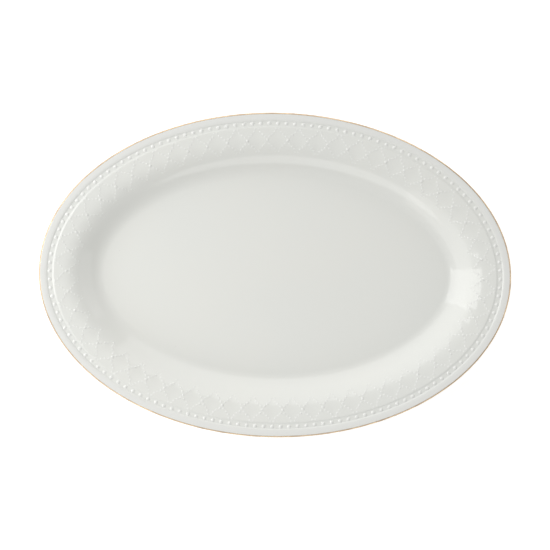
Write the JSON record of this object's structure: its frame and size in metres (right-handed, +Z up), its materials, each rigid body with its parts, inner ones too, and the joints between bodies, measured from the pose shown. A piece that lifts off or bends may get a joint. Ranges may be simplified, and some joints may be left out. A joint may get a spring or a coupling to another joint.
{
  "type": "oval serving platter",
  "caption": "Oval white china serving platter with a shallow flat well, curved wall, broad rim with raised pearl lattice, beaded border, gold edge line and foot ring.",
  "frame": {"origin": "centre of the plane that the platter stands on, under the middle of the well", "axes": "+X along the platter's length, +Y across its width, +Z up out of the well"},
  "size_m": [0.4064, 0.2794, 0.0283],
  "materials": {
    "white_glaze": "gloss",
    "foot_china": "matte",
    "bead_glaze": "gloss",
    "lattice_glaze": "gloss",
    "gilding": "polished"
  },
  "bodies": {
    "root": {"china_body": "white_glaze", "foot_ring": "foot_china", "bead_border": "bead_glaze", "lattice_relief": "lattice_glaze", "gold_rim_line": "gilding"}
  },
  "joints": []
}
